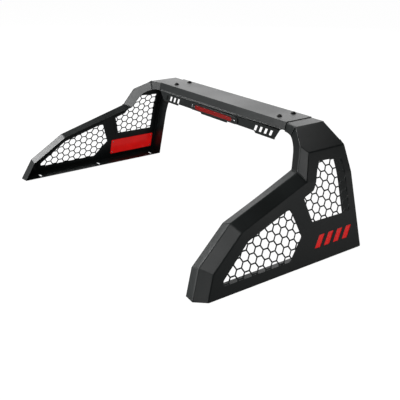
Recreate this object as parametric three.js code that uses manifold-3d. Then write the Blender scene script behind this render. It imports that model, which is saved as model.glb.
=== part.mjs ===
// Pickup headache rack: two folded side panels with honeycomb windows, joined by
// a channel beam that carries the third brake light.
// Millimetres, +X to the right of the truck, +Y towards the cab, +Z up, bed rails at z = 0.
import * as THREE from 'three';
import { mergeVertices } from 'three/addons/utils/BufferGeometryUtils.js';
import Module from 'manifold-3d';

const wasm = await Module();
wasm.setup();

// ---------------------------------------------------------------- driving sizes
const baseWidth = 1580;         // across the outer faces at the bed rails
const panelLength = 820;        // front to back, along the bed rail
const height = 471;             // bed rail to the top of the beam
const sheet = 2;                // steel sheet of the panels and the beam
const gap = 0.3;                // between parts that touch
const slip = 0.5;               // between the arms and the beam that slides on them

const padThickness = 3;         // rubber strip under each panel
const padInset = 3;             // pad edge inside the panel's edge

const foldDrop = 171;           // beam top to the line where the outer face first folds inwards
const foldInset = 85;           // how far the fold sits inboard of the rail edge
const shoulderDrop = 70;        // beam top to the line where the shoulder starts
const shoulderInset = 134;
const creaseInset = 255;        // where the shoulder meets the level arm
const seamInset = 326;          // where the arm enters the beam
const armOverlap = 150;         // length of arm inside the beam

const flangeDepth = 79;         // depth of the folded edges behind the outer face
const shoulderDepth = 43;
const armDepth = 36;            // edges of the arm outside the beam
const sleeveDepth = 31;         // the same inside it, above the ledge
const coreCorner = 30;          // how far the rounded inner corners of the hoop reach
const bevelDepth = 36;          // bevel between outer face and edge strip
const bevelWidth = 42;
const hoopBevelWidth = 30;      // the same on the upright, measured along the rail
const rake = 0.25;              // how far the beam's rear bevel runs back per mm down
const hoopRake = 0.335;         // the same on the upright's rear strip

const beamDepth = 144.5;        // front of the beam to its rear top ridge
const beamDrop = 34;            // depth of the beam's folded edges
const hoopDepth = 160.5;        // front of the beam to the ridge where shoulder and arm meet

// Places derived from the sizes above
const halfBase = baseWidth / 2;
const front = panelLength / 2;
const back = -panelLength / 2;
const seamX = halfBase - seamInset;
const armEndX = seamX - armOverlap;
const foldHeight = height - foldDrop;
const shoulderHeight = height - shoulderDrop;
const foldUp = Math.hypot(foldHeight, foldInset);
const beamRidgeY = front - beamDepth;
const hoopRidgeY = front - hoopDepth;

// Rear edge of the side panel, seen square on: [along the rail, up the outer face]
const noseFoot = [back - 5.5, 0];
const noseTop = [back + 49, 121];
const knee = [back + 210, 242];
const throat = [front - 259, foldUp + 46];

// Windows in the outer face, in the same coordinates
const lowerWindow = [[back + 118, 42], [back + 120, 60], [back + 252, 168], [front - 352, foldUp - 74],
  [front - 314, 122], [front - 388, 42]];
const upperWindow = [[front - 249, 163], [front - 276, foldUp - 50], [front - 220, foldUp - 32],
  [front - 207, foldUp - 13], [front - 166, foldUp + 72], [front - 39, foldUp + 67], [front - 41, 160]];
const windowCorner = 5;

// Honeycomb mesh behind each window
const hexPitch = 37.8;          // flat to flat, with one bar
const hexBar = 5.6;
const meshThickness = 1.5;
const meshMargin = 14;          // how far the mesh plate reaches past the window
const meshShow = 3;             // how far its holes reach past the window
const lowerHex = [front - 362, 178];    // centre of one cell in the lower mesh
const upperHex = [front - 218, 248];

// Accent: a row of raked slots with a red plate behind
const accentSlots = 4;
const accentLeft = front - 255;
const accentPitch = 50;
const accentSlotWidth = 30;
const accentSlotHeight = 46;
const accentRake = 34;
const accentBase = 58;          // lower edge of the slots, up the outer face
const accentPlate = { y0: front - 286, y1: front - 22, v0: 36, v1: 122, thickness: 3 };
const studInset = 10;           // accent screws from the plate's corners
const slotCorner = 2;

// Slots in the bottom flange
const baseSlotY = [back + 101, front - 381, front - 48];
const baseSlot = { length: 40, width: 12, inset: 46 };

// Light panel: the beam's rear sheet below the bevel
const panelDrop = 85;           // beam top to the bottom of the deep tabs
const panelStep = 9;            // how much shorter the sheet is between the tabs
const lampTab = 92;             // half width of the middle tab
const sideTab = [seamX - 169, seamX - 52];   // inner and outer ends of the side tabs
const sideTabTop = seamX - 17;  // where the slanted end meets the bevel
const lipDepth = 9;
const ledge = 7;                // step between the bevel and the light panel

// Cut-out groups in the side tabs
const ventSlots = 4;
const ventPitch = 32;
const ventWidth = 15;
const ventHeight = 24;
const ventRake = 11;
const ventFirst = seamX - 181;
const ventBase = height - 73;

// Brake light
const lampLength = 356;
const lampHeight = 33;
const lampZ = height - 59;
const bezelThickness = 3;
const bodyInset = 32;           // how much shorter the body is than the bezel, at each end
const bodyHeight = 24;
const bodyDepth = 12;           // how far the body passes through the light panel
const bodyWall = 8;             // from the body's end to the lens
const lensHeight = 20;
const lensWall = 2.5;
const lensProud = 1;            // how far the lens stands out of the bezel
const pocketDepth = 13;
const gasketInset = 1.5;
const gasketThickness = 1.5;
const gasketGap = 0.6;          // between the gasket and the body it goes round
const boardInset = 4;           // from the lens wall to the board
const boardThickness = 1.6;
const ledCount = 18;
const led = { length: 3.5, width: 2.8, height: 1.2, margin: 15 };
const lampScrewInset = 18;      // from the lamp's end
const lampScrew = { radius: 2, length: 12, headRadius: 4.5, headHeight: 2.5 };
const lampNut = { flats: 7, height: 3 };
const lensScrewInset = 35;
const lensScrew = { radius: 1.2, length: 6, headRadius: 2.6, headHeight: 1.4 };
const wireRadius = 4;

// Accent screws
const accentScrew = { radius: 2, length: 3, headRadius: 4, headHeight: 2 };

// Beam bolts
const boltX = seamX - 84;
const boltY = [front - 104, front - 24];
const boltRadius = 5;
const boltHeadRadius = 9;
const boltHeadHeight = 5.5;
const washerRadius = 12;
const washerThickness = 2;
const nutFlats = 16;
const nutHeight = 8;
const boltLength = 24;
const slideTravel = 30;         // how far each panel can be drawn out of the beam

// ---------------------------------------------------------------- colours
const finish = {
  powder: { color: 0x17191a, roughness: 0.5, metalness: 0.35 },
  mesh: { color: 0x111213, roughness: 0.55, metalness: 0.3 },
  red: { color: 0xc41a1c, roughness: 0.35, metalness: 0 },
  rubber: { color: 0x101010, roughness: 0.9, metalness: 0 },
  steel: { color: 0xb8babd, roughness: 0.3, metalness: 1 },
  black: { color: 0x1b1c1e, roughness: 0.4, metalness: 0.8 },
  plastic: { color: 0x141414, roughness: 0.45, metalness: 0 },
  lens: { color: 0xb5121b, roughness: 0.15, metalness: 0 },
  board: { color: 0x1d5a32, roughness: 0.6, metalness: 0 },
};

// ---------------------------------------------------------------- helpers
const vec = (x, y, z) => new THREE.Vector3(x, y, z);
const huge = 4 * baseWidth;     // stands in for endless

// A closed three.js geometry becomes a solid that can be joined and cut.
function solid(geometry, matrix) {
  let bare = geometry.index ? geometry.toNonIndexed() : geometry.clone();
  bare.deleteAttribute('normal');
  bare.deleteAttribute('uv');
  if (matrix) bare.applyMatrix4(matrix);
  bare = mergeVertices(bare, 1e-4);
  return new wasm.Manifold(new wasm.Mesh({
    numProp: 3,
    vertProperties: new Float32Array(bare.attributes.position.array),
    triVerts: new Uint32Array(bare.index.array),
  }));
}

function toGeometry(body) {
  const { vertProperties, triVerts } = body.getMesh();
  const geometry = new THREE.BufferGeometry();
  geometry.setAttribute('position', new THREE.BufferAttribute(vertProperties, 3));
  geometry.setIndex(new THREE.BufferAttribute(triVerts, 1));
  const flat = geometry.toNonIndexed();
  flat.computeVertexNormals();
  return flat;
}

function block(x0, x1, y0, y1, z0, z1) {
  const geometry = new THREE.BoxGeometry(x1 - x0, y1 - y0, z1 - z0);
  return solid(geometry.translate((x0 + x1) / 2, (y0 + y1) / 2, (z0 + z1) / 2));
}

// A rod along Z, standing on z0.
function rod(radius, x, y, z0, z1, sides = 32) {
  const geometry = new THREE.CylinderGeometry(radius, radius, z1 - z0, sides);
  return solid(geometry.rotateX(Math.PI / 2).translate(x, y, (z0 + z1) / 2));
}

// A rod along Y.
function crossRod(radius, x, z, y0, y1, sides = 24) {
  const geometry = new THREE.CylinderGeometry(radius, radius, y1 - y0, sides);
  return solid(geometry.translate(x, (y0 + y1) / 2, z));
}

const union = (bodies) => bodies.reduce((sum, body) => sum.add(body));

// A plane is a point and an outward normal; material lies behind it.
const plane = (point, normal) => ({ point, normal: normal.clone().normalize() });

function planeThrough(a, b, c, outside) {
  const normal = b.clone().sub(a).cross(c.clone().sub(a));
  return plane(a, outside.dot(normal) > 0 ? normal : normal.negate());
}

function behind({ point, normal }, inset) {
  const turn = new THREE.Quaternion().setFromUnitVectors(vec(0, 0, 1), normal);
  const origin = point.clone().addScaledVector(normal, -inset);
  const matrix = new THREE.Matrix4().compose(origin, turn, vec(1, 1, 1));
  return solid(new THREE.BoxGeometry(huge, huge, huge).translate(0, 0, -huge / 2), matrix);
}

// The convex solid behind all the planes, each moved in by inset.
function convex(planes, inset = 0) {
  return planes.map((p) => behind(p, inset)).reduce((body, half) => body.intersect(half));
}

// Outline helpers, in the flat coordinates of a face.
function outlineShape(points, corner = 0) {
  const shape = new THREE.Shape();
  const count = points.length;
  const at = (i) => new THREE.Vector2(...points[(i + count) % count]);
  for (let i = 0; i < count; i += 1) {
    const here = at(i);
    const from = at(i - 1).sub(here).setLength(corner).add(here);
    const to = at(i + 1).sub(here).setLength(corner).add(here);
    if (i === 0) shape.moveTo(from.x, from.y);
    else shape.lineTo(from.x, from.y);
    if (corner > 0) shape.quadraticCurveTo(here.x, here.y, to.x, to.y);
  }
  shape.closePath();
  return shape;
}

// Moves the edges of an outline out, each by its own distance or all by the same one.
// The outline may run either way round.
function grow(points, distance) {
  const reachOf = (i) => (Array.isArray(distance) ? distance[i] : distance);
  const count = points.length;
  const turn = Math.sign(THREE.ShapeUtils.area(points.map((p) => new THREE.Vector2(...p))));
  const edges = points.map((p, i) => {
    const a = new THREE.Vector2(...p);
    const along = new THREE.Vector2(...points[(i + 1) % count]).sub(a).normalize();
    const out = new THREE.Vector2(along.y, -along.x).multiplyScalar(turn * reachOf(i));
    return { start: a.add(out), along };
  });
  return edges.map((edge, i) => {
    const last = edges[(i + count - 1) % count];
    const between = edge.start.clone().sub(last.start);
    const reach = between.cross(edge.along) / last.along.cross(edge.along);
    return last.start.clone().addScaledVector(last.along, reach).toArray();
  });
}

// A prism over an outline, from depth z0 to z1 of a face frame.
function prism(shape, z0, z1, frame) {
  const geometry = new THREE.ExtrudeGeometry(shape, { depth: z1 - z0, bevelEnabled: false, curveSegments: 4 });
  return solid(geometry.translate(0, 0, z0), frame);
}

function hexShape(y, v, flats) {
  const corner = flats / Math.sqrt(3);
  const points = Array.from({ length: 6 }, (_, i) => {
    const angle = (i * Math.PI) / 3;
    return [y + corner * Math.cos(angle), v + corner * Math.sin(angle)];
  });
  return outlineShape(points);
}

// A leaning slot: a parallelogram with its foot at [y, v].
const slotShape = (y, v, width, tall, lean) => outlineShape(
  [[y, v], [y + width, v], [y + width + lean, v + tall], [y + lean, v + tall]], slotCorner);

// ---------------------------------------------------------------- panel planes
const railPoint = vec(halfBase, 0, 0);
const foldPoint = vec(halfBase - foldInset, 0, foldHeight);
const shoulderPoint = vec(halfBase - shoulderInset, 0, shoulderHeight);
const armTop = height - sheet - slip;
const creasePoint = vec(halfBase - creaseInset, 0, armTop);
const panelFront = front - sheet - slip;
const panelBottom = padThickness + gap;

// A face of the hoop holds the Y direction and two points of the cross-section.
function facePlane(low, high) {
  const along = high.clone().sub(low);
  return plane(low, vec(along.z, 0, -along.x));
}

// Frame of a face: x along the rail, y up the face from the low point, z outwards.
function faceFrame(low, high) {
  const up = high.clone().sub(low).normalize();
  const ahead = vec(0, 1, 0);
  const matrix = new THREE.Matrix4().makeBasis(ahead, up, ahead.clone().cross(up));
  return matrix.setPosition(low);
}

const lowerFrame = faceFrame(railPoint, foldPoint);
const upperFrame = faceFrame(foldPoint, shoulderPoint);

const lowerFace = facePlane(railPoint, foldPoint);
const upperFace = facePlane(foldPoint, shoulderPoint);
const shoulderFace = facePlane(shoulderPoint, creasePoint);
const topFace = plane(vec(0, 0, armTop), vec(0, 0, 1));
const frontFace = plane(vec(0, panelFront, 0), vec(0, 1, 0));
const bottomFace = plane(vec(0, 0, panelBottom), vec(0, 0, -1));

const onFace = ([y, v], depth) => vec(y, v, -depth).applyMatrix4(lowerFrame);
const faceNormal = vec(0, 0, 1).transformDirection(lowerFrame);

// One edge of the wing: the strip square to the outer face, and the bevel between them.
function wingEdge(from, to) {
  const strip = planeThrough(onFace(from, 0), onFace(to, 0), onFace(from, flangeDepth), vec(0, -1, 1));
  const outer = onFace(from, 0).addScaledVector(strip.normal, -bevelWidth);
  const bevel = planeThrough(onFace(from, bevelDepth), onFace(to, bevelDepth), outer, faceNormal);
  return [strip, bevel];
}

// A rear plane of the hoop: it runs through a ridge point and leans back at a rake.
const rearPlane = (point, slopeX, lean = rake) => plane(point, vec(slopeX, -1, lean));

const creaseRidge = vec(creasePoint.x, hoopRidgeY, armTop);
const throatRidge = onFace(throat, bevelDepth);
const throatDrop = throatRidge.z - armTop;
const hoopSlope = (throatRidge.y - hoopRidgeY - hoopRake * throatDrop) / (throatRidge.x - creasePoint.x);
const armRidgeY = beamRidgeY - rake * (height - armTop) + (sheet + slip) * Math.hypot(1, rake);
const flareSlope = (armRidgeY - hoopRidgeY) / (seamX - creasePoint.x);

// The bevel of the upright starts at the throat and ends under the shoulder.
function uprightBevel() {
  const shoulderX = shoulderPoint.x - bevelDepth;
  const shoulderZ = shoulderHeight + (bevelDepth * (armTop - shoulderHeight)) / (creaseInset - shoulderInset);
  const ridgeY = hoopRidgeY + hoopSlope * (shoulderX - creasePoint.x) + hoopRake * (shoulderZ - armTop);
  const outer = throatRidge.clone().sub(foldPoint).projectOnPlane(upperFace.normal).add(foldPoint);
  outer.y += hoopBevelWidth;
  return planeThrough(throatRidge, vec(shoulderX, ridgeY, shoulderZ), outer, upperFace.normal);
}

const hoopShell = [lowerFace, upperFace, shoulderFace, topFace, frontFace, bottomFace];
const wingPlanes = [lowerFace, upperFace, frontFace, bottomFace,
  ...wingEdge(noseFoot, noseTop), ...wingEdge(noseTop, knee), ...wingEdge(knee, throat)];
const uprightPlanes = [...hoopShell, rearPlane(creaseRidge, hoopSlope, hoopRake), uprightBevel()];
const flarePlanes = [topFace, frontFace, bottomFace, rearPlane(creaseRidge, flareSlope)];
const armPlanes = [topFace, frontFace, bottomFace, rearPlane(vec(0, armRidgeY, armTop), 0)];

// The solid outside of a side panel, or with an inset, the space its sheet wraps.
function panelForm(inset) {
  const slice = (x0, x1) => block(x0, x1, -panelLength, panelLength, -height, 2 * height);
  const overlap = 1;
  const foldReach = armDepth;   // the fold between strip and flare leans in as it goes down
  const armEnd = armEndX - Math.sign(inset) * overlap;
  return union([
    convex(wingPlanes, inset).intersect(slice(0, baseWidth)),
    convex(uprightPlanes, inset).intersect(slice(creasePoint.x - foldReach, baseWidth)),
    convex(flarePlanes, inset).intersect(slice(seamX - overlap, creasePoint.x + overlap)),
    convex(armPlanes, inset).intersect(slice(armEnd, seamX + overlap)),
  ]);
}

// The open inner side: everything further in than the folded edges reach. Its section is
// the outer one moved in by the depth of each edge, with the corners rounded.
function panelCore() {
  const rise = foldHeight / foldInset;
  const section = [[halfBase + height / rise, -height], [foldPoint.x, foldHeight],
    [shoulderPoint.x, shoulderHeight], [creasePoint.x, armTop], [-halfBase, armTop], [-halfBase, -height]];
  const depths = [flangeDepth, flangeDepth, shoulderDepth, armDepth, 0, 0];
  const shape = outlineShape(grow(section, depths.map((d) => -d)), coreCorner);
  return prism(shape, -panelLength, panelLength, new THREE.Matrix4().makeRotationX(Math.PI / 2));
}

// The arm's edges are cut shorter where they run inside the beam.
function sleeveCut() {
  const high = armTop - sleeveDepth;
  return block(0, seamX + slip, 0, baseWidth, high - armDepth, high);
}

// Splits a flat body at the fold line and lays its two parts on the lower and upper face.
function folded(flat) {
  const far = panelLength;
  const below = flat.intersect(block(-far, far, -far, foldUp, -far, far));
  const above = flat.intersect(block(-far, far, foldUp, far, -far, far));
  const lift = upperFrame.clone().multiply(new THREE.Matrix4().makeTranslation(0, -foldUp, 0));
  return solid(toGeometry(below), lowerFrame).add(solid(toGeometry(above), lift));
}

// ---------------------------------------------------------------- side panel
const cutDepth = 4 * sheet;

function accentCutters() {
  return Array.from({ length: accentSlots }, (_, i) => prism(
    slotShape(accentLeft + i * accentPitch, accentBase, accentSlotWidth, accentSlotHeight, accentRake),
    -cutDepth, cutDepth, lowerFrame));
}

function baseSlots(clearance) {
  const radius = baseSlot.width / 2 + clearance;
  const x0 = halfBase - baseSlot.inset - (baseSlot.length - baseSlot.width) / 2;
  const x1 = x0 + baseSlot.length - baseSlot.width;
  return baseSlotY.flatMap((y) => [
    rod(radius, x0, y, -cutDepth, 2 * cutDepth),
    rod(radius, x1, y, -cutDepth, 2 * cutDepth),
    block(x0, x1, y - radius, y + radius, -cutDepth, 2 * cutDepth),
  ]);
}

// The bolts stay with the beam, so the arm's slots run inwards from them.
function armSlots() {
  const radius = boltRadius + slip;
  const low = armTop - cutDepth;
  const high = armTop + cutDepth;
  return boltY.flatMap((y) => [
    rod(radius, boltX - slideTravel, y, low, high),
    rod(radius, boltX, y, low, high),
    block(boltX - slideTravel, boltX, y - radius, y + radius, low, high),
  ]);
}

function sidePanel() {
  const window = (points) => prism(outlineShape(points, windowCorner), -cutDepth, cutDepth);
  const cuts = [panelCore(), sleeveCut(), folded(window(lowerWindow)), folded(window(upperWindow)),
    ...accentCutters(), ...baseSlots(0), ...armSlots()];
  return panelForm(0).subtract(panelForm(sheet)).subtract(union(cuts));
}

// ---------------------------------------------------------------- honeycomb mesh
function meshPlate(windowOutline, [cellY, cellV]) {
  const top = -sheet - gap;
  const low = top - meshThickness;
  const plate = prism(outlineShape(grow(windowOutline, meshMargin), windowCorner), low, top);
  const shown = prism(outlineShape(grow(windowOutline, meshShow), windowCorner), low - 1, top + 1);
  const stepY = (hexPitch * Math.sqrt(3)) / 2;
  const holes = [];
  const ys = windowOutline.map(([y]) => y - cellY);
  const vs = windowOutline.map(([, v]) => v - cellV);
  const steps = (values, step) => [Math.floor(Math.min(...values) / step) - 1, Math.max(...values) / step + 1];
  const [firstColumn, lastColumn] = steps(ys, stepY);
  const [firstRow, lastRow] = steps(vs, hexPitch);
  for (let i = firstColumn; i <= lastColumn; i += 1) {
    const shift = i % 2 ? hexPitch / 2 : 0;
    for (let j = firstRow; j <= lastRow; j += 1) {
      const hex = hexShape(cellY + i * stepY, cellV + j * hexPitch + shift, hexPitch - hexBar);
      holes.push(prism(hex, low - 1, top + 1));
    }
  }
  return folded(plate.subtract(union(holes).intersect(shown)));
}

// ---------------------------------------------------------------- accent plate and pads
const accentBack = -sheet - gap - accentPlate.thickness;

function accentCorners() {
  const { y0, y1, v0, v1 } = accentPlate;
  return [y0 + studInset, y1 - studInset].flatMap((y) => [v0 + studInset, v1 - studInset].map((v) => [y, v]));
}

function accent() {
  const { y0, y1, v0, v1 } = accentPlate;
  const outline = [[y0, v0], [y1, v0], [y1, v1], [y0, v1]];
  const plate = prism(outlineShape(outline, windowCorner), accentBack, -sheet - gap);
  const holes = accentCorners().map(([y, v]) => rod(accentScrew.radius + gap, y, v, accentBack - 1, 0, 16));
  return plate.subtract(union(holes));
}

// A cup head screw pointing up local Z, its seat at z = 0.
function panHead(radius, tall) {
  const profile = [[0, 0], [radius, 0], [radius, tall * 0.4], [radius * 0.75, tall * 0.85], [0, tall]];
  const points = profile.map(([x, y]) => new THREE.Vector2(x, y));
  return solid(new THREE.LatheGeometry(points, 24).rotateX(Math.PI / 2));
}

function screw({ radius, length, headRadius, headHeight }) {
  const recess = [[0, 1], [1, 0]].map(([a, b]) => {
    const half = headRadius * 0.55;
    const thin = headRadius * 0.14;
    return block(-half * a - thin * b, half * a + thin * b, -half * b - thin * a, half * b + thin * a,
      headHeight * 0.45, headHeight * 2);
  });
  const shank = rod(radius, 0, 0, -length, headHeight * 0.3, 16);
  return panHead(headRadius, headHeight).add(shank).subtract(union(recess));
}

function basePad() {
  const x0 = halfBase - flangeDepth + 2 * padInset;
  const x1 = halfBase - 2 * padInset;
  const y0 = noseFoot[0] + 6 * padInset;
  const y1 = panelFront - padInset;
  const cornerX = halfBase - bevelDepth - 2 * padInset;
  const shape = outlineShape([[x0, y0], [cornerX, y0], [x1, y0 + bevelDepth], [x1, y1], [x0, y1]]);
  return prism(shape, 0, padThickness).subtract(union(baseSlots(1)));
}

// ---------------------------------------------------------------- beam
const bevelFootY = beamRidgeY - rake * beamDrop;
const plateY = bevelFootY - ledge;          // rear face of the light panel
const bevelFootZ = height - beamDrop;

function beamChannel() {
  const planes = [plane(vec(0, 0, height), vec(0, 0, 1)), plane(vec(0, front, 0), vec(0, 1, 0)),
    rearPlane(vec(0, beamRidgeY, height), 0)];
  const outer = convex(planes).intersect(block(-seamX, seamX, 0, baseWidth, bevelFootZ, 2 * height));
  return outer.subtract(convex(planes, sheet));
}

function lightPanelOutline() {
  const low = height - panelDrop;
  const high = low + panelStep;
  const [tabStart, tabEnd] = sideTab;
  const half = [[lampTab, low], [lampTab + panelStep, high], [tabStart - panelStep, high], [tabStart, low],
    [tabEnd, low], [sideTabTop, bevelFootZ]];
  return [...half, ...half.map(([x, z]) => [-x, z]).reverse()];
}

// Frame of the light panel: x along the beam, y up, z towards the tailgate.
const plateFrame = new THREE.Matrix4().makeRotationX(Math.PI / 2).setPosition(0, plateY, 0);

function ventCutters() {
  const starts = Array.from({ length: ventSlots }, (_, i) => ventFirst + i * ventPitch);
  return starts.flatMap((x) => [
    prism(slotShape(x, ventBase, ventWidth, ventHeight, ventRake), -cutDepth, cutDepth, plateFrame),
    prism(slotShape(-x - ventWidth, ventBase, ventWidth, ventHeight, ventRake), -cutDepth, cutDepth, plateFrame),
  ]);
}

function lip(x0, x1) {
  const low = height - panelDrop;
  return block(x0, x1, plateY, plateY + lipDepth, low, low + sheet);
}

function beamCover() {
  const plate = prism(outlineShape(lightPanelOutline()), -sheet, 0, plateFrame);
  const shelf = block(-sideTabTop, sideTabTop, plateY, bevelFootY + sheet, bevelFootZ - sheet, bevelFootZ + sheet / 4);
  const lips = [lip(-lampTab, lampTab), lip(...sideTab), lip(-sideTab[1], -sideTab[0])];
  const boltHoles = [-boltX, boltX].flatMap((x) => boltY.map(
    (y) => rod(boltRadius + slip, x, y, height - cutDepth, height + cutDepth)));
  const lampHoles = [-lampScrewX, lampScrewX].map(
    (x) => crossRod(lampScrew.radius + gap, x, lampZ, plateY - cutDepth, plateY + cutDepth));
  const opening = prism(stadium(bodyLength + 4 * gap, bodyHeight + 4 * gap), -cutDepth, cutDepth,
    plateFrame.clone().multiply(new THREE.Matrix4().makeTranslation(0, lampZ, 0)));
  return union([beamChannel(), plate, shelf, ...lips])
    .subtract(union([...ventCutters(), ...boltHoles, ...lampHoles, opening]));
}

// ---------------------------------------------------------------- beam bolts
function washer(radius, hole, thickness) {
  return rod(radius, 0, 0, 0, thickness).subtract(rod(hole, 0, 0, -1, thickness + 1));
}

function hexRod(flats, z0, z1) {
  return prism(hexShape(0, 0, flats), z0, z1);
}

function nut(flats, hole, tall) {
  return hexRod(flats, 0, tall).subtract(rod(hole, 0, 0, -1, tall + 1, 24));
}

function buttonBolt() {
  const profile = new THREE.Path();
  profile.moveTo(0, 0);
  profile.lineTo(boltHeadRadius, 0);
  profile.lineTo(boltHeadRadius, boltHeadHeight * 0.25);
  profile.quadraticCurveTo(boltHeadRadius * 0.8, boltHeadHeight, 0, boltHeadHeight);
  const head = solid(new THREE.LatheGeometry(profile.getPoints(6), 32).rotateX(Math.PI / 2));
  const shank = rod(boltRadius, 0, 0, -boltLength, boltHeadHeight * 0.3);
  return head.add(shank).subtract(hexRod(boltRadius * 1.2, boltHeadHeight * 0.45, 2 * boltHeadHeight));
}

// ---------------------------------------------------------------- brake light
const bodyLength = lampLength - 2 * bodyInset;
const lensLength = bodyLength - 2 * bodyWall;
const lampScrewX = lampLength / 2 - lampScrewInset;
const lensScrewX = lampLength / 2 - lensScrewInset;

const stadium = (length, tall) => {
  const shape = new THREE.Shape();
  const radius = tall / 2;
  const half = length / 2 - radius;
  shape.moveTo(-half, -radius);
  shape.lineTo(half, -radius);
  shape.absarc(half, 0, radius, -Math.PI / 2, Math.PI / 2);
  shape.lineTo(-half, radius);
  shape.absarc(-half, 0, radius, Math.PI / 2, (3 * Math.PI) / 2);
  return shape;
};

// Depths in the lamp's frame: z = 0 on the light panel, growing towards the tailgate.
const bezelBack = 2 * gap + gasketThickness;
const bezelFace = bezelBack + bezelThickness;
const pocketFloor = bezelFace - pocketDepth;
const boardBack = pocketFloor + gap;
const lensBack = boardBack + boardThickness + gap;
const lensFace = bezelFace + lensProud;

function lampHousing() {
  const bezel = prism(stadium(lampLength, lampHeight), bezelBack, bezelFace);
  const body = prism(stadium(bodyLength, bodyHeight), -bodyDepth, bezelBack + gap);
  const pocket = prism(stadium(lensLength + 2 * gap, lensHeight + 2 * gap), pocketFloor, bezelFace + 1);
  const screwHoles = [-lampScrewX, lampScrewX].map(
    (x) => rod(lampScrew.radius + gap, x, 0, 0, bezelFace + 1, 16));
  const lensHoles = [-lensScrewX, lensScrewX].map(
    (x) => rod(lensScrew.radius + gap, x, 0, bezelFace - lensScrew.length - 1, bezelFace + 1, 12));
  const wire = rod(wireRadius, 0, 0, -2 * bodyDepth, pocketFloor + 1);
  return bezel.add(body).subtract(union([pocket, ...screwHoles, ...lensHoles, wire]));
}

function lampGasket() {
  const ring = prism(stadium(lampLength - 2 * gasketInset, lampHeight - 2 * gasketInset), gap, bezelBack - gap);
  const middle = prism(stadium(bodyLength + 2 * gasketGap, bodyHeight + 2 * gasketGap), 0, bezelBack);
  const holes = [-lampScrewX, lampScrewX].map((x) => rod(lampScrew.radius + gap, x, 0, 0, bezelBack, 16));
  return ring.subtract(union([middle, ...holes]));
}

function lampBoard() {
  const boardFront = boardBack + boardThickness;
  const inset = lensWall + gap;
  const board = prism(stadium(lensLength - 2 * boardInset, lensHeight - 2 * inset), boardBack, boardFront);
  const span = lensLength - 2 * led.margin;
  const leds = Array.from({ length: ledCount }, (_, i) => {
    const x0 = (i / (ledCount - 1) - 0.5) * span - led.length / 2;
    return block(x0, x0 + led.length, -led.width / 2, led.width / 2, boardBack, boardFront + led.height);
  });
  return union([board, ...leds]);
}

function lampLens() {
  const body = prism(stadium(lensLength, lensHeight), lensBack, lensFace);
  const hollow = prism(stadium(lensLength - 2 * lensWall, lensHeight - 2 * lensWall), lensBack - 1,
    lensFace - lensWall);
  return body.subtract(hollow);
}

// ---------------------------------------------------------------- scene graph
const group = new THREE.Group();

function add(parent, name, body, look) {
  const mesh = new THREE.Mesh(toGeometry(body), new THREE.MeshStandardMaterial(finish[look]));
  mesh.name = name;
  parent.add(mesh);
  return mesh;
}

function buildSide(side, mirror) {
  const whole = new THREE.Group();
  whole.scale.x = mirror;
  group.add(whole);
  add(whole, `side_panel_${side}`, sidePanel(), 'powder');
  add(whole, `mesh_lower_${side}`, meshPlate(lowerWindow, lowerHex), 'mesh');
  add(whole, `mesh_upper_${side}`, meshPlate(upperWindow, upperHex), 'mesh');
  add(whole, `base_pad_${side}`, basePad(), 'rubber');
  const face = new THREE.Group();
  face.applyMatrix4(lowerFrame);
  whole.add(face);
  add(face, `accent_plate_${side}`, accent(), 'red');
  accentCorners().forEach(([y, v], i) => {
    const stud = add(face, `accent_screw_${side}_${i + 1}`, screw(accentScrew), 'steel');
    stud.rotation.y = Math.PI;
    stud.position.set(y, v, accentBack - gap);
  });
}

function buildBolts() {
  const nutTop = armTop - height - sheet - gap;
  const seats = [-boltX, boltX].flatMap((x) => boltY.map((y) => [x, y]));
  seats.forEach(([x, y], i) => {
    const place = new THREE.Group();
    place.position.set(x, y, height);
    group.add(place);
    add(place, `beam_washer_${i + 1}`, washer(washerRadius, boltRadius + gap, washerThickness), 'black')
      .position.z = gap;
    add(place, `beam_bolt_${i + 1}`, buttonBolt(), 'black').position.z = 2 * gap + washerThickness;
    add(place, `beam_nut_${i + 1}`, nut(nutFlats, boltRadius + gap, nutHeight), 'steel')
      .position.z = nutTop - nutHeight;
  });
}

function buildLamp() {
  const lamp = new THREE.Group();
  lamp.rotation.x = Math.PI / 2;
  lamp.position.set(0, plateY, lampZ);
  group.add(lamp);
  add(lamp, 'lamp_gasket', lampGasket(), 'rubber');
  add(lamp, 'lamp_housing', lampHousing(), 'plastic');
  add(lamp, 'lamp_board', lampBoard(), 'board');
  add(lamp, 'lamp_lens', lampLens(), 'lens');
  [-1, 1].forEach((end, i) => {
    add(lamp, `lamp_screw_${i + 1}`, screw(lampScrew), 'steel')
      .position.set(end * lampScrewX, 0, bezelFace + gap);
    add(lamp, `lens_screw_${i + 1}`, screw(lensScrew), 'steel')
      .position.set(end * lensScrewX, 0, bezelFace + gap);
    add(lamp, `lamp_nut_${i + 1}`, nut(lampNut.flats, lampScrew.radius + gap, lampNut.height), 'steel')
      .position.set(end * lampScrewX, 0, -sheet - gap - lampNut.height);
  });
}

buildSide('right', 1);
buildSide('left', -1);
add(group, 'beam_cover', beamCover(), 'powder');
buildBolts();
buildLamp();

export default group;
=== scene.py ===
# %% [markdown]
# A pickup headache rack stands on the bed rails behind the cab: two folded steel side
# panels with honeycomb windows, and a channel beam between them that carries the third
# brake light. The rack arrives as a fixed frame of exact flat-faced parts. This lesson
# gives each part its folded corners and its finish, and adds the beads that a welder
# leaves. The frame is loaded first, because the places and sizes of the parts come from
# it.

# %% Load the frame
import math
import bpy
import bmesh
from mathutils import Matrix, Vector


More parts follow.
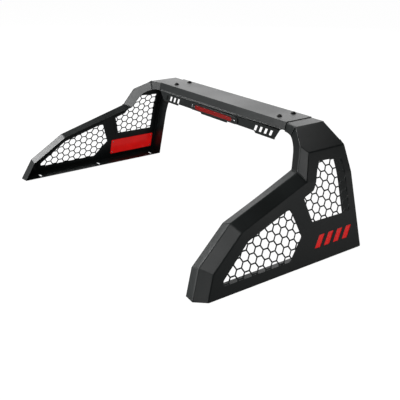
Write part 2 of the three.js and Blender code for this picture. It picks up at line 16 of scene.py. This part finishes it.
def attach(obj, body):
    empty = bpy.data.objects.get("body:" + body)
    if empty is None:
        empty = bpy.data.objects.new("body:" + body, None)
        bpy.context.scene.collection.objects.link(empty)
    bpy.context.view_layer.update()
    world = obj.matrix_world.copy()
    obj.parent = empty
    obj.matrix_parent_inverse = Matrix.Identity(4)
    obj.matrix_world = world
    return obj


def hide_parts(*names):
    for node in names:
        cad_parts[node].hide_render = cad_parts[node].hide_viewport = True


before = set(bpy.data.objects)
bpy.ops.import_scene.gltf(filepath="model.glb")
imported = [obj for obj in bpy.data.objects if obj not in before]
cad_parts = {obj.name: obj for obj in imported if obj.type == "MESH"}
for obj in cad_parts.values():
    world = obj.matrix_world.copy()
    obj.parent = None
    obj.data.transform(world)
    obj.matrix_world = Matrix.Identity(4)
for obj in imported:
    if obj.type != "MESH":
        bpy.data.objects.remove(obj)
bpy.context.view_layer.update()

MM = 0.001
SIDES = {"right": 1, "left": -1}

# %% [markdown]
# The camera stands behind the truck on its right side, a little above the beam, as a
# buyer would look at the rack. A slightly long lens keeps the near panel from looming
# over the far one. The camera is turned in a fixed order: roll, then tilt, then heading.

# %% Camera
def add_camera(place, heading, tilt_down, roll, lens):
    data = bpy.data.cameras.new("camera")
    data.lens = lens
    camera = bpy.data.objects.new("camera", data)
    turn = (Matrix.Rotation(math.radians(heading), 4, "Z")
            @ Matrix.Rotation(math.radians(90 - tilt_down), 4, "X")
            @ Matrix.Rotation(math.radians(roll), 4, "Z"))
    camera.matrix_world = Matrix.Translation(place) @ turn
    bpy.context.scene.collection.objects.link(camera)
    bpy.context.scene.camera = camera
    return camera


camera = add_camera(
    place=(2.3237, -1.5382, 1.1663), heading=53.57, tilt_down=22.04, roll=0.42, lens=58.7)
print("camera at", tuple(round(v, 2) for v in camera.location), "lens", camera.data.lens)

# %% [markdown]
# Materials are written as maths, because a formula is easier to read and to change than
# a list of links. A Signal stands for one output socket, and adding or multiplying
# signals adds the Math nodes. A Finish is one material: its node method makes any node
# from its type, its settings and what goes into it.

# %% Shader maths
FIRST_COLOUR, SECOND_COLOUR, MIXED_COLOUR = 6, 7, 2     # colour sockets of a Mix node, by place


class Signal:
    """One output socket of a finish. Arithmetic on it adds Math nodes."""

    def __init__(self, finish, socket):
        self.finish = finish
        self.socket = socket

    def maths(self, operation, first, second):
        return self.finish.node("ShaderNodeMath", {"operation": operation}, {0: first, 1: second})

    def __add__(self, other):
        return self.maths("ADD", self, other)

    __radd__ = __add__

    def __mul__(self, other):
        return self.maths("MULTIPLY", self, other)

    __rmul__ = __mul__


class Finish:
    """One material, built from nodes."""

    def __init__(self, name):
        self.material = bpy.data.materials.new(name)
        self.material.use_nodes = True
        self.tree = self.material.node_tree
        self.shader = self.tree.nodes["Principled BSDF"]
        self.place = self.node("ShaderNodeTexCoord", output="Object")

    def node(self, kind, settings=None, inputs=None, output=0):
        node = self.tree.nodes.new(kind)
        for name, value in (settings or {}).items():
            setattr(node, name, value)
        self.feed(node, inputs or {})
        return Signal(self, node.outputs[output])

    def feed(self, node, inputs):
        for key, value in inputs.items():
            if isinstance(value, Signal):
                self.tree.links.new(value.socket, node.inputs[key])
            else:
                node.inputs[key].default_value = value

    def noise(self, scale, detail=2.0, roughness=0.5):
        return self.node("ShaderNodeTexNoise", {}, {
            "Vector": self.place, "Scale": scale, "Detail": detail, "Roughness": roughness})

    def ramp(self, signal, low, high):
        """0 below low, 1 above high."""
        return self.node("ShaderNodeMapRange", {"interpolation_type": "SMOOTHSTEP"},
                         {"Value": signal, "From Min": low, "From Max": high})

    def blend(self, share, first, second):
        """A colour between two colours."""
        return self.node("ShaderNodeMix", {"data_type": "RGBA"}, {
            "Factor": share, FIRST_COLOUR: first, SECOND_COLOUR: second}, output=MIXED_COLOUR)

    def bump(self, height, depth):
        """Relief of that depth, where the height signal runs from 0 to 1."""
        return self.node("ShaderNodeBump", {}, {"Height": height, "Strength": 1.0, "Distance": depth})

    def surface(self, **sockets):
        self.feed(self.shader, {name.replace("_", " "): value for name, value in sockets.items()})
        return self.material


def grey(value, tint=(1, 1, 1)):
    """A grey colour, or a tinted one."""
    return (*(value * share for share in tint), 1)


print("shader helpers ready")

# %% [markdown]
# Powder coat is paint baked from powder. It is near black, and it sets with a fine grain
# over a soft orange peel. A picture of paint could be wrapped on, but it would stretch
# over the folds, so the pattern is worked out in space instead. Both patterns are
# relief, so they go into the bump. The gloss drifts slowly over a panel, which a large
# noise in the roughness shows. The mesh plates wear the same paint, a little duller.

# %% Powder coat
GLOSS_DRIFT, ORANGE_PEEL, FINE_GRAIN, SPECKS = 3.5, 150, 700, 1500      # waves per metre
COOL_DARK = (0.85, 1, 0.98)
COOL_LIGHT = (0.75, 1, 1)
PAINT_RELIEF = 0.06 * MM


def powder_coat(name, shade, gloss_low, gloss_high):
    """Black paint. The gloss values are the least and the most roughness of its drift."""
    finish = Finish(name + "_finish")
    drift = finish.noise(GLOSS_DRIFT, detail=3)
    peel = finish.noise(ORANGE_PEEL, detail=1)
    grain = finish.noise(FINE_GRAIN, detail=2)
    speck = finish.ramp(finish.noise(SPECKS), 0.60, 0.72)
    tone = finish.ramp(drift * 0.5 + grain * 0.5, 0.35, 0.65)
    colour = finish.blend(tone, grey(shade * 0.75, COOL_DARK), grey(shade * 1.3, COOL_LIGHT))
    gloss = gloss_low + (gloss_high - gloss_low) * finish.ramp(drift, 0.3, 0.7)
    relief = peel * 0.6 + grain * 0.3 + speck * 0.1
    return finish.surface(
        Base_Color=colour, Roughness=gloss + grain * 0.06 + speck * 0.08,
        Normal=finish.bump(relief, PAINT_RELIEF), IOR=1.45)


finishes = {
    "powder_coat": powder_coat("powder_coat", 0.012, 0.28, 0.36),
    "mesh_coat": powder_coat("mesh_coat", 0.020, 0.36, 0.46)}
print("paint made:", ", ".join(finishes))

# %% [markdown]
# The accent plates behind the slots are red acrylic sheet, which lets a little light
# through. Light that wanders inside such a sheet is slow to work out, so the sheet gets a
# weak painted glow in its own colour, which makes it brighter than the lamps light it. A
# faint cloud and fine scuffs keep it from looking flat.

# %% Red acrylic
def red_acrylic():
    finish = Finish("red_acrylic_finish")
    cloud = finish.noise(22, detail=3)
    scuff = finish.ramp(finish.noise(240, detail=4, roughness=0.7), 0.55, 0.8)
    colour = finish.blend(cloud, (0.62, 0.010, 0.010, 1), (0.82, 0.016, 0.014, 1))
    # the emission is a painted glow: it brightens the plate beyond what its lighting gives
    return finish.surface(
        Base_Color=colour, Roughness=0.16 + scuff * 0.18, Normal=finish.bump(cloud, 0.3 * MM),
        IOR=1.49, Transmission_Weight=0.2, Emission_Color=colour, Emission_Strength=0.33)


finishes["red_acrylic"] = red_acrylic()
print("accent plate finish:", finishes["red_acrylic"].name)

# %% [markdown]
# The lamp's lens is clear red plastic with a polished skin. Inside, a mould presses
# upright flutes into it that spread the light of the diodes. They could be cut as
# geometry, but at this size a wave in the bump and in the colour shows them as well.

# %% Red lens
def red_lens():
    finish = Finish("red_lens_finish")
    flow = finish.noise(60, detail=2)
    flutes = finish.node("ShaderNodeTexWave", {"bands_direction": "X"},
                         {"Vector": finish.place, "Scale": 78, "Distortion": 0.0}, "Fac")
    colour = finish.blend(flutes * 0.7 + flow * 0.3, (0.45, 0.010, 0.010, 1), (0.74, 0.03, 0.025, 1))
    return finish.surface(
        Base_Color=colour, Roughness=0.05 + flow * 0.06, Normal=finish.bump(flutes, 0.3 * MM),
        IOR=1.58, Transmission_Weight=0.55)


finishes["red_lens"] = red_lens()
print("lens finish:", finishes["red_lens"].name)

# %% [markdown]
# The pads and the gasket are rubber: matt, dusty, with a moulded pebble. Rounded cells
# make that pebble better than noise does, because a pebble has an outline. The lamp's
# case is black plastic from a spark-eroded mould, which leaves a very fine even grain.

# %% Rubber and lamp plastic
def rubber():
    finish = Finish("pad_rubber_finish")
    pebble = finish.node("ShaderNodeTexVoronoi", {"feature": "SMOOTH_F1"},
                         {"Vector": finish.place, "Scale": 420, "Smoothness": 0.6}, "Distance")
    dust = finish.noise(30, detail=4)
    colour = finish.blend(dust, grey(0.010), grey(0.028))
    return finish.surface(
        Base_Color=colour, Roughness=0.72 + dust * 0.2, Normal=finish.bump(pebble, 0.3 * MM))


def lamp_plastic():
    finish = Finish("lamp_plastic_finish")
    grain = finish.noise(1800, detail=2)
    haze = finish.noise(40, detail=3)
    colour = finish.blend(haze, grey(0.012), grey(0.022))
    return finish.surface(
        Base_Color=colour, Roughness=0.24 + haze * 0.14, Normal=finish.bump(grain, 0.05 * MM))


finishes["pad_rubber"] = rubber()
finishes["lamp_plastic"] = lamp_plastic()
print("finishes so far:", len(finishes))

# %% [markdown]
# The screws and nuts are zinc plated, so they are bright and slightly clouded. The beam
# bolts are blackened steel. Bare steel shows through where the black has rubbed off, so
# one noise drives both the colour and how metallic the surface is.

# %% Metals
def plated_steel():
    finish = Finish("bright_steel_finish")
    cloud = finish.noise(260, detail=4)
    scratch = finish.noise(2600, detail=2)
    colour = finish.blend(cloud, (0.62, 0.64, 0.66, 1), (0.80, 0.80, 0.78, 1))
    return finish.surface(
        Base_Color=colour, Metallic=1.0, Roughness=0.18 + cloud * 0.18,
        Normal=finish.bump(scratch, 0.02 * MM))


def black_steel():
    finish = Finish("black_steel_finish")
    cloud = finish.noise(300, detail=4)
    rub = finish.ramp(finish.noise(900, detail=3), 0.58, 0.75)
    colour = finish.blend(rub, grey(0.018), grey(0.09))
    return finish.surface(
        Base_Color=colour, Metallic=0.35 + rub * 0.3, Roughness=0.28 + cloud * 0.2,
        Normal=finish.bump(cloud, 0.04 * MM))


finishes["bright_steel"] = plated_steel()
finishes["black_steel"] = black_steel()
print("finishes so far:", len(finishes))

# %% [markdown]
# Behind the lens sits a green circuit board of woven glass and resin. The weave is a
# brick pattern with thin joints, which is close to how crossed threads look.

# %% Circuit board
def board_green():
    finish = Finish("circuit_board_finish")
    weave = finish.node("ShaderNodeTexBrick", {"offset": 0.5},
                        {"Vector": finish.place, "Scale": 260, "Mortar Size": 0.03}, "Fac")
    blotch = finish.noise(500, detail=2)
    colour = finish.blend(
        weave * 0.7 + blotch * 0.3, (0.012, 0.10, 0.035, 1), (0.05, 0.24, 0.09, 1))
    return finish.surface(
        Base_Color=colour, Roughness=0.35 + blotch * 0.2, Normal=finish.bump(weave, 0.04 * MM))


finishes["circuit_board"] = board_green()
print("finishes:", ", ".join(sorted(finishes)))

# %% [markdown]
# The frame's own nodes all get a finish from the slot that the record gives them, the
# hidden ones too. The finish goes on the object and not on its mesh, so the frame's
# meshes stay as they came. Nodes whose corners should be rounded are replaced later.

# %% Paint the frame's nodes
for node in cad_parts.values():
    for slot in node.material_slots:
        slot_name = slot.material.name.split(".")[0]
        slot.link = "OBJECT"
        slot.material = finishes[slot_name]
print("nodes painted:", len(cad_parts))

# %% [markdown]
# A press brake leaves a rounded fold, and a laser leaves a sharp edge that tumbling
# takes off. The parts could be modelled again from boxes, but then they might not fit
# their neighbours. So a part is copied from the frame, and its triangles are merged into
# whole faces, because every line inside a flat face would be in the rounding's way.

# %% Copy a part
FLAT_ENOUGH = math.radians(0.3)
MERGE_EXACT = 0.005 * MM
MERGE_SLIVERS = 0.3 * MM


def deselect_all():
    bpy.ops.object.select_all(action="DESELECT")


def activate(piece):
    deselect_all()
    piece.select_set(True)
    bpy.context.view_layer.objects.active = piece


def edit(piece, *steps):
    """Runs operators on everything in edit mode."""
    activate(piece)
    bpy.ops.object.mode_set(mode="EDIT")
    bpy.ops.mesh.select_all(action="SELECT")
    for step in steps:
        step()
    bpy.ops.object.mode_set(mode="OBJECT")


def copy_of(node_name, piece_name, whole_faces):
    """A copy of a node's mesh, as whole flat faces or with its triangles kept."""
    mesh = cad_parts[node_name].data.copy()
    mesh.name = piece_name
    piece = bpy.data.objects.new(piece_name, mesh)
    bpy.context.scene.collection.objects.link(piece)
    if whole_faces:
        edit(piece,
             lambda: bpy.ops.mesh.remove_doubles(threshold=MERGE_EXACT),
             lambda: bpy.ops.mesh.dissolve_limited(angle_limit=FLAT_ENOUGH))
    else:
        edit(piece, lambda: bpy.ops.mesh.remove_doubles(threshold=MERGE_SLIVERS))
    return piece


print("flat within", round(math.degrees(FLAT_ENOUGH), 2), "degrees")

# %% [markdown]
# Each edge is rounded by what it is: a fold by a few millimetres, more on the outside of
# the sheet than on the inside, and a cut edge by less than half a millimetre. Rounding
# by hand would take an operator for each kind of edge. Bevel weights carry the choice
# instead, and one Bevel modifier makes them all at once.

# %% Round the edges
SMOOTH_UP_TO = math.radians(32)


def face_width(face):
    """The width of a long narrow face."""
    around = sum(edge.calc_length() for edge in face.edges)
    return 2 * face.calc_area() / around


def weigh_edges(piece, radius_of):
    """Gives each edge a bevel weight from its radius, and returns the largest radius."""
    shape = bmesh.new()
    shape.from_mesh(piece.data)
    weight = shape.edges.layers.float.new("bevel_weight_edge")
    radii = {edge: radius_of(edge) for edge in shape.edges if len(edge.link_faces) == 2}
    largest = max(radii.values())
    for edge, radius in radii.items():
        edge[weight] = radius / largest
    shape.to_mesh(piece.data)
    shape.free()
    return largest


def round_edges(piece, radius_of, segments):
    """Rounds every edge by the radius that radius_of gives for it."""
    width = weigh_edges(piece, radius_of)
    bevel = piece.modifiers.new("rounding", "BEVEL")
    bevel.limit_method = "WEIGHT"
    bevel.width = width
    bevel.segments = segments
    bevel.use_clamp_overlap = False
    activate(piece)
    bpy.ops.object.modifier_apply(modifier=bevel.name)
    smooth(piece)


def smooth(piece):
    """Smooths the roundings and keeps the large faces flat."""
    activate(piece)
    bpy.ops.object.shade_smooth_by_angle(angle=SMOOTH_UP_TO)
    flatten = piece.modifiers.new("flat faces", "WEIGHTED_NORMAL")
    flatten.keep_sharp = True
    flatten.weight = 100
    bpy.ops.object.modifier_apply(modifier=flatten.name)


print("rounded edges are smoothed up to", round(math.degrees(SMOOTH_UP_TO)), "degrees")

# %% [markdown]
# A finished piece is put together in one place: it gets the material of its slot, it
# rides on its body, and the nodes that it was copied from are hidden.

# %% Finish a piece
def finish_piece(piece, slot_name, body, *nodes):
    """Gives a piece the material of its slot, lets it ride on its body and hides its nodes."""
    piece.data.materials.clear()
    piece.data.materials.append(finishes[slot_name])
    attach(piece, body)
    if nodes:
        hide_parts(*nodes)
    return piece


# %% [markdown]
# The side panels and the beam cover are folded from one gauge of sheet. An edge beside a
# face about as narrow as the sheet is thick is a cut edge, and any other edge is a fold.
# A fold that turns outwards gets the outer radius, and one that turns inwards the inner.

# %% Kinds of sheet edge
SHEET = 2.0 * MM
OUTER_FOLD = 4.0 * MM
INNER_FOLD = 2.0 * MM
CUT_EDGE = 0.4 * MM
LEAST_FOLD = math.radians(5)
LEAST_CUT = math.radians(40)
CUT_FACE = 1.2 * SHEET          # a face narrower than this is the sheet's own thickness


def sheet_edge_radius(edge):
    turn = edge.calc_face_angle_signed()
    narrow = min(face_width(face) for face in edge.link_faces)
    if abs(turn) < LEAST_FOLD:
        return 0
    if narrow < CUT_FACE:
        return CUT_EDGE if abs(turn) > LEAST_CUT else 0
    return OUTER_FOLD if turn > 0 else INNER_FOLD


print("sheet", SHEET / MM, "mm, folds", OUTER_FOLD / MM, "and", INNER_FOLD / MM, "mm")

# %% [markdown]
# The parts are folded now. Rounding hides where two faces met, so the hollow corners
# that will be welded are noted just before it: short ones, between two wide faces. Most
# are inside the panel. The creases where its outline turns in are hollow outside.

# %% Folded sheet parts
SHORTEST_WELD = 30 * MM
LONGEST_WELD = 100 * MM
WIDE_FACE = 4 * SHEET


def hollow_corners(piece):
    """Start, end and opening direction of each hollow corner that is short enough to weld."""
    shape = bmesh.new()
    shape.from_mesh(piece.data)
    corners = []
    for edge in shape.edges:
        wide = min(face_width(face) for face in edge.link_faces) > WIDE_FACE
        concave = edge.calc_face_angle_signed() < -LEAST_FOLD
        if wide and concave and SHORTEST_WELD < edge.calc_length() < LONGEST_WELD:
            opening = sum((face.normal for face in edge.link_faces), Vector()).normalized()
            corners.append((edge.verts[0].co.copy(), edge.verts[1].co.copy(), opening))
    shape.free()
    return corners


def fold_sheet(node_name, piece_name, body):
    """Makes a sheet part with rounded folds, and returns its hollow corners."""
    piece = copy_of(node_name, piece_name, whole_faces=True)
    corners = hollow_corners(piece)
    round_edges(piece, sheet_edge_radius, segments=3)
    finish_piece(piece, "powder_coat", body, node_name)
    print(piece_name, len(piece.data.polygons), "faces")
    return corners


seams = {}
for side in SIDES:
    seams[side] = fold_sheet(f"side_panel_{side}", f"folded_panel_{side}", f"{side}_side")
fold_sheet("beam_cover", "folded_beam", "beam")

# %% [markdown]
# The edge strips are separate flaps. Where two of them meet in a hollow corner, it is
# welded before painting. A plain half round bar would look extruded. A weld is a row of
# overlapping drops, so one ball is repeated along the corner, and the row is melted
# into one skin. The left panel gets the right panel's corners, mirrored.

# %% Weld beads
BEAD_RADIUS = 2.6 * MM
BEAD_SINK = 1.3 * MM
DROP_PITCH = 2.4 * MM
BEAD_VOXEL = 0.55 * MM
BEAD_SHARE = 0.8                # of the corner's length
FEWEST_DROPS = 3


def weld_bead(name, start, end, opening, body):
    """A rippled bead along a straight hollow corner."""
    middle = (start + end) / 2
    run = (end - start) * BEAD_SHARE
    drops = max(FEWEST_DROPS, round(run.length / DROP_PITCH))
    deselect_all()
    bpy.ops.mesh.primitive_uv_sphere_add(
        segments=14, ring_count=8, radius=BEAD_RADIUS, location=middle - run / 2 + opening * BEAD_SINK)
    bead = bpy.context.object
    bead.name = name
    bpy.ops.object.transform_apply(location=True, rotation=True, scale=True)
    row = bead.modifiers.new("row", "ARRAY")
    row.count = drops
    row.use_relative_offset = False
    row.use_constant_offset = True
    row.constant_offset_displace = run / (drops - 1)
    bpy.ops.object.modifier_apply(modifier=row.name)
    melt = bead.modifiers.new("melt", "REMESH")
    melt.mode = "VOXEL"
    melt.voxel_size = BEAD_VOXEL
    bpy.ops.object.modifier_apply(modifier=melt.name)
    bpy.ops.object.shade_smooth()
    finish_piece(bead, "powder_coat", body)


for side, hand in SIDES.items():
    mirror = Vector((hand, 1, 1))
    for i, corner in enumerate(seams["right"]):
        start, end, opening = (vector * mirror for vector in corner)
        weld_bead(f"weld_{side}_{i + 1}", start, end, opening, f"{side}_side")
    print(side, "welds:", len(seams["right"]))

# %% [markdown]
# Small parts need only their rims eased, and each family has its own radius, because
# the plates are cut, the lamp is moulded, and the bolts are stamped. An edge counts as a
# rim when it turns by more than a set angle. The angle is wider for screws and bolts,
# whose domed heads are made of rings. The mesh plates keep their triangles: a face with
# dozens of holes can't be one polygon.

# %% Ease a family of parts
RIM = 40                # degrees
SCREW_RIM = 50


def eased(node_name, slot_name, body, radius, sharper_than, whole_faces):
    limit = math.radians(sharper_than)
    piece = copy_of(node_name, node_name + "_eased", whole_faces)

    def rim_radius(edge):
        return radius if abs(edge.calc_face_angle_signed()) > limit else 0

    round_edges(piece, rim_radius, segments=2)
    return finish_piece(piece, slot_name, body, node_name)


def ease_family(names, slot_name, body, radius, sharper_than=RIM, whole_faces=True):
    pieces = [eased(name, slot_name, body, radius, sharper_than, whole_faces) for name in names]
    print(slot_name, "x", len(pieces), "faces", sum(len(piece.data.polygons) for piece in pieces))


def numbered(name, count):
    return [f"{name}_{i + 1}" for i in range(count)]


print("rims are edges sharper than", RIM, "degrees, on screws", SCREW_RIM)

# %% [markdown]
# Each wing carries its two mesh plates, its rubber pad, and the red plate with the four
# screws that hold it.

# %% Small parts of the wings
SCREW_EASE = 0.12 * MM
for side in SIDES:
    body = f"{side}_side"
    mesh_plates = [f"mesh_lower_{side}", f"mesh_upper_{side}"]
    ease_family(mesh_plates, "mesh_coat", body, 0.2 * MM, whole_faces=False)
    ease_family([f"base_pad_{side}"], "pad_rubber", body, 0.6 * MM)
    ease_family([f"accent_plate_{side}"], "red_acrylic", body, 0.5 * MM)
    ease_family(numbered(f"accent_screw_{side}", 4), "bright_steel", body, SCREW_EASE, SCREW_RIM)

# %% [markdown]
# The beam carries the bolts that clamp the arms, and the brake light with its gasket,
# lens, screws and nuts. The lamp's circuit board stays as it came from the frame.

# %% Small parts of the beam
ease_family(numbered("beam_washer", 4), "black_steel", "beam", 0.25 * MM)
ease_family(numbered("beam_bolt", 4), "black_steel", "beam", 0.2 * MM, SCREW_RIM)
ease_family(numbered("beam_nut", 4), "bright_steel", "beam", 0.4 * MM)
ease_family(["lamp_housing"], "lamp_plastic", "beam", 0.9 * MM)
ease_family(["lamp_gasket"], "pad_rubber", "beam", 0.3 * MM)
ease_family(["lamp_lens"], "red_lens", "beam", 0.8 * MM)
lamp_screws = numbered("lamp_screw", 2) + numbered("lens_screw", 2)
ease_family(lamp_screws, "bright_steel", "beam", SCREW_EASE, SCREW_RIM)
ease_family(numbered("lamp_nut", 2), "bright_steel", "beam", 0.2 * MM)

# %% [markdown]
# The rack stands on a white floor in a white room. In a studio the floor is lit on its
# own, so that the black paint doesn't mirror it at full strength. Here the Light Path
# node does that: the camera sees a bright floor, and the paint mirrors a dimmer one.

# %% Floor
SEEN_WHITE = 1.0
FLOOR_GLOW = 0.14
FLOOR_SIZE = 80
FLOOR_DROP = 0.5 * MM       # below the pads, so that the two faces don't coincide


def add_floor():
    deselect_all()
    bpy.ops.mesh.primitive_plane_add(size=FLOOR_SIZE, location=(0, 0, -FLOOR_DROP))
    floor = bpy.context.object
    floor.name = "floor"
    finish = Finish("floor_white")
    cloud = finish.noise(2, detail=2)
    seen = finish.node("ShaderNodeLightPath", output="Is Camera Ray")
    floor.data.materials.append(finish.surface(
        Base_Color=finish.blend(cloud, grey(0.10), grey(0.12)), Roughness=0.9, IOR=1.1,
        Emission_Color=finish.blend(seen, grey(FLOOR_GLOW), grey(SEEN_WHITE)), Emission_Strength=0.98))


add_floor()
print("floor added,", FLOOR_SIZE, "m square")

# %% [markdown]
# The room is the world's background. It is one even tone, so its few nodes are linked
# by hand, and the same switch keeps it bright behind the rack and dim in the paint.

# %% Room
ROOM_GLOW = 0.03


def add_room():
    world = bpy.data.worlds.new("room")
    world.use_nodes = True
    tree = world.node_tree
    seen = tree.nodes.new("ShaderNodeLightPath")
    tone = tree.nodes.new("ShaderNodeMix")
    tone.data_type = "RGBA"
    tone.inputs[FIRST_COLOUR].default_value = grey(ROOM_GLOW)
    tone.inputs[SECOND_COLOUR].default_value = grey(SEEN_WHITE)
    tree.links.new(seen.outputs["Is Camera Ray"], tone.inputs["Factor"])
    tree.links.new(tone.outputs[MIXED_COLOUR], tree.nodes["Background"].inputs["Color"])
    bpy.context.scene.world = world


add_room()
bpy.context.scene.view_settings.view_transform = "Standard"
print("room added, view transform", bpy.context.scene.view_settings.view_transform)

# %% [markdown]
# Black gloss paint shows its lights as reflections, so each soft box stands where one
# group of faces mirrors it towards the camera. The strips and bevels turn different
# ways, so each group has its own box, and its glow sets that group's tone.

# %% Soft boxes
RACK_MIDDLE = Vector((0, 0, 0.25))


def add_soft_box(name, toward, distance, size, glow):
    """A square light that far from the rack in a direction; glow is how bright its face is."""
    data = bpy.data.lights.new(name, "AREA")
    data.shape = "SQUARE"
    data.size = size
    data.energy = glow * math.pi * size * size
    light = bpy.data.objects.new(name, data)
    direction = Vector(toward).normalized()
    light.location = RACK_MIDDLE + direction * distance
    light.rotation_mode = "QUATERNION"
    light.rotation_quaternion = direction.to_track_quat("Z", "Y")
    light.visible_camera = False
    bpy.context.scene.collection.objects.link(light)


SOFT_BOXES = {      # direction, distance and size in metres, glow
    "over_left": ((-0.70, -0.45, 0.56), 3.8, 1.0, 16),
    "ledge_line": ((-0.76, -0.20, 0.62), 8.0, 1.2, 20),
    "behind_low": ((-0.37, -0.89, 0.28), 4.0, 1.4, 12),
    "behind_left": ((-0.78, -0.62, 0.12), 4.0, 1.6, 0.7),
    "behind_right": ((0.48, -0.48, 0.74), 3.8, 1.2, 3.0),
    "beside_camera": ((0.70, -0.65, 0.32), 4.6, 1.2, 3.0),
    "over_right": ((0.55, -0.23, 0.81), 4.3, 1.2, 4.5),
    "front_left_low": ((-0.92, 0.33, 0.22), 5.0, 1.6, 0.7),
    "front_left_wide": ((-0.75, 0.55, 0.37), 6.0, 4.0, 1.6),
    "front_high": ((-0.07, 0.55, 0.83), 4.0, 1.6, 1.4),
    "front_right": ((0.83, 0.55, 0.15), 4.5, 2.0, 0.8)}
for name, (toward, distance, size, glow) in SOFT_BOXES.items():
    add_soft_box(name, toward, distance, size, glow)
print("soft boxes:", len(SOFT_BOXES))
